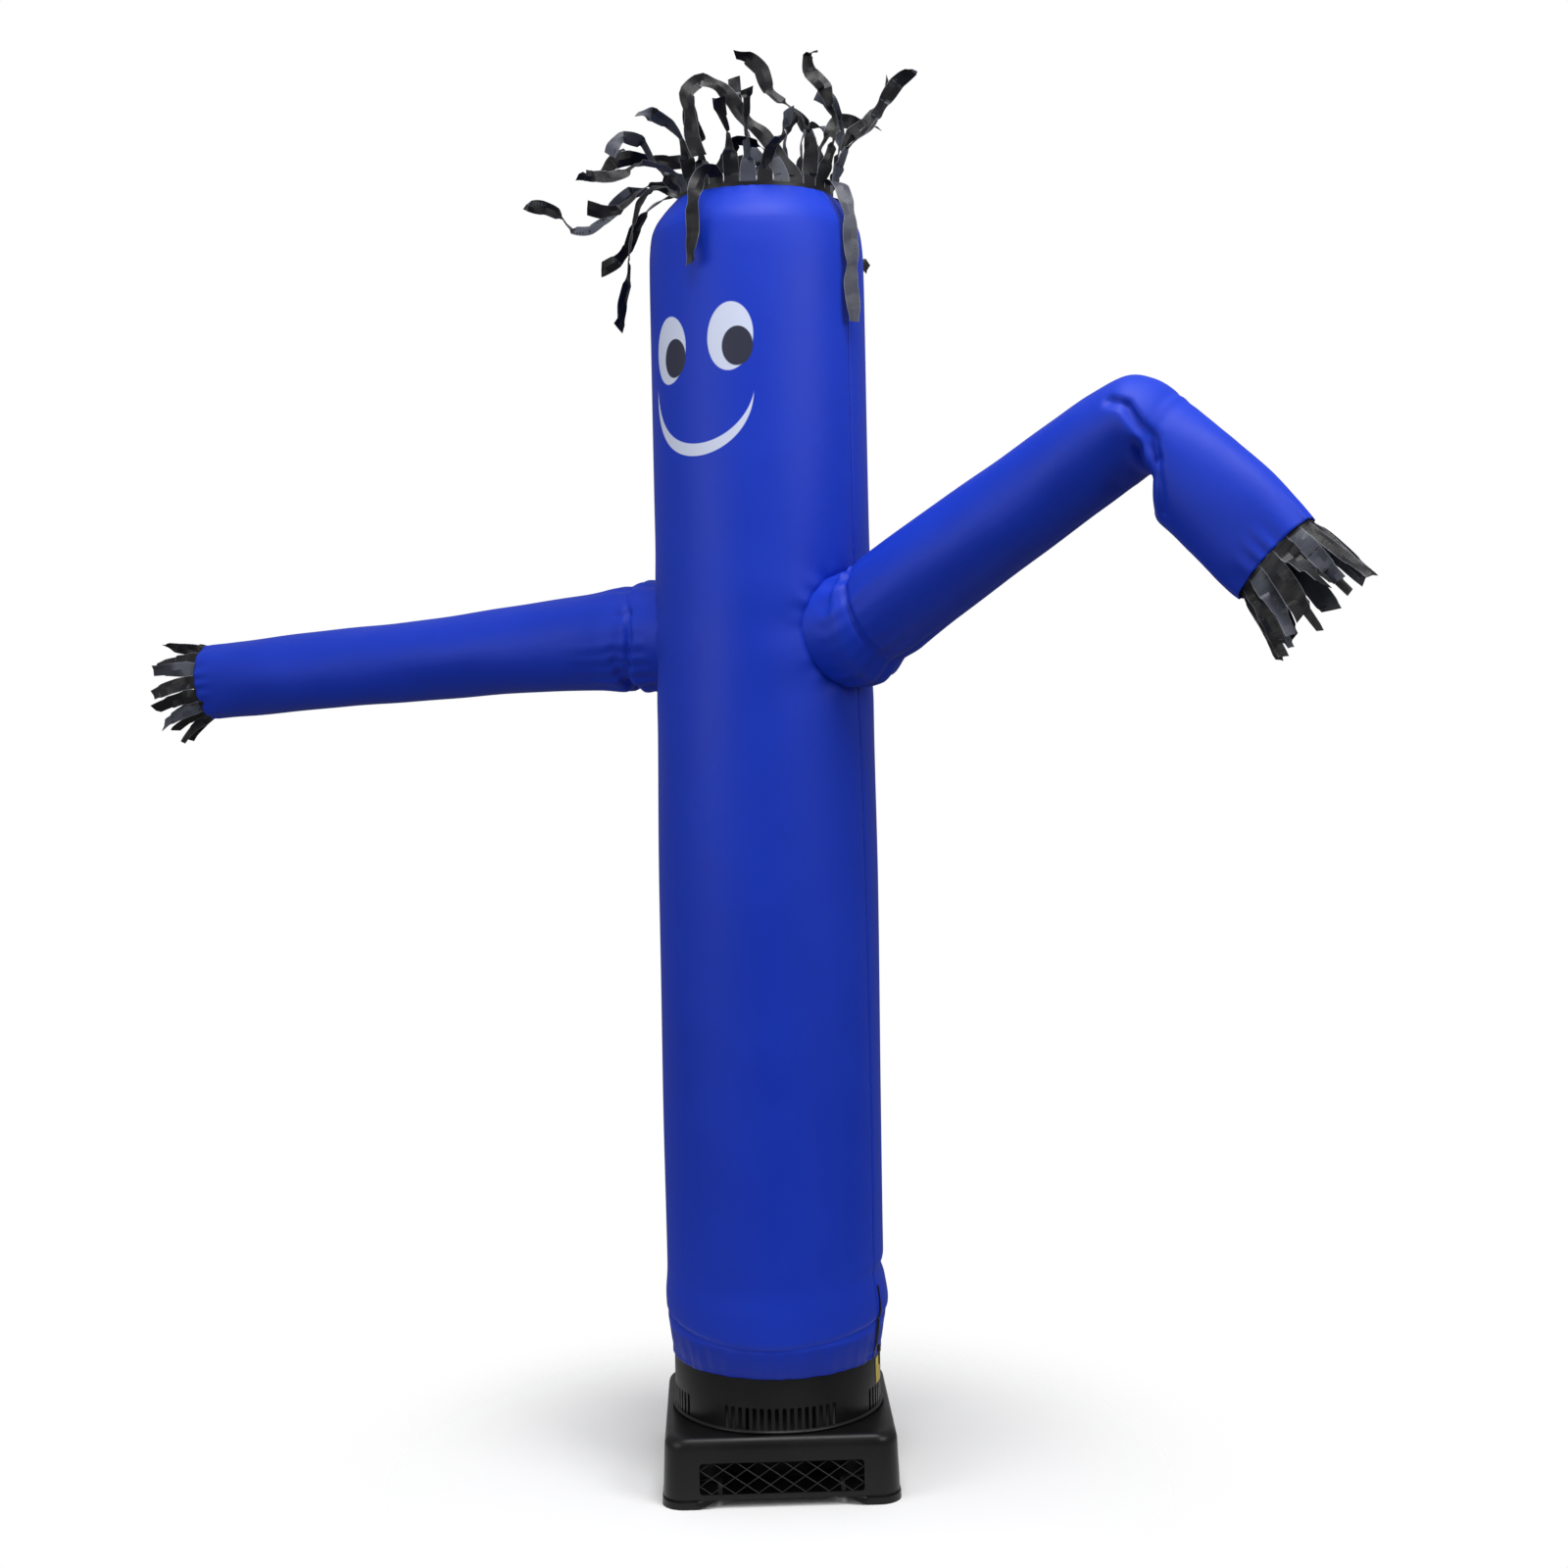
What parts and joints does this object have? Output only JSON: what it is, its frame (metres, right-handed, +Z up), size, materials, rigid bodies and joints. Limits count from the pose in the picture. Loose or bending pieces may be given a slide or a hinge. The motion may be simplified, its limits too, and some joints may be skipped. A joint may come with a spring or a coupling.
{
  "type": "inflatable air dancer on a blower",
  "caption": "Tall inflatable cloth tube figure with two sleeves, ribbon hair and hand fringes, strapped over a square fan blower base.",
  "frame": {"origin": "on the floor under the middle of the square blower base", "axes": "+Z up the tube, -Y towards the front window of the blower, +X towards the raised bent arm's side"},
  "size_m": [2.5406, 1.7652, 2.9939],
  "materials": {
    "blue_cloth": "royal blue coated nylon, fine weave, soft satin sheen",
    "black_ribbon": "black nylon ribbon with a grey sheen and cut edges",
    "zip_black": "black zip tape, slider and pull",
    "yellow_sticker": "plain yellow vinyl",
    "black_plastic": "black moulded plastic, fine texture, satin"
  },
  "bodies": {
    "root": {"body_front": "blue_cloth", "body_back": "blue_cloth", "sleeve_right": "blue_cloth", "sleeve_left": "blue_cloth", "hair_fringe": "black_ribbon", "fringe_right": "black_ribbon", "fringe_left": "black_ribbon", "zip_tape": "zip_black", "zip_slider": "zip_black", "zip_pull": "zip_black", "sticker": "yellow_sticker", "drum": "black_plastic", "base_housing": "black_plastic", "base_plate": "black_plastic", "foot_1": "black_plastic", "foot_2": "black_plastic", "foot_3": "black_plastic", "foot_4": "black_plastic", "grille_front": "black_plastic", "grille_right": "black_plastic", "grille_back": "black_plastic", "grille_left": "black_plastic"}
  },
  "joints": []
}
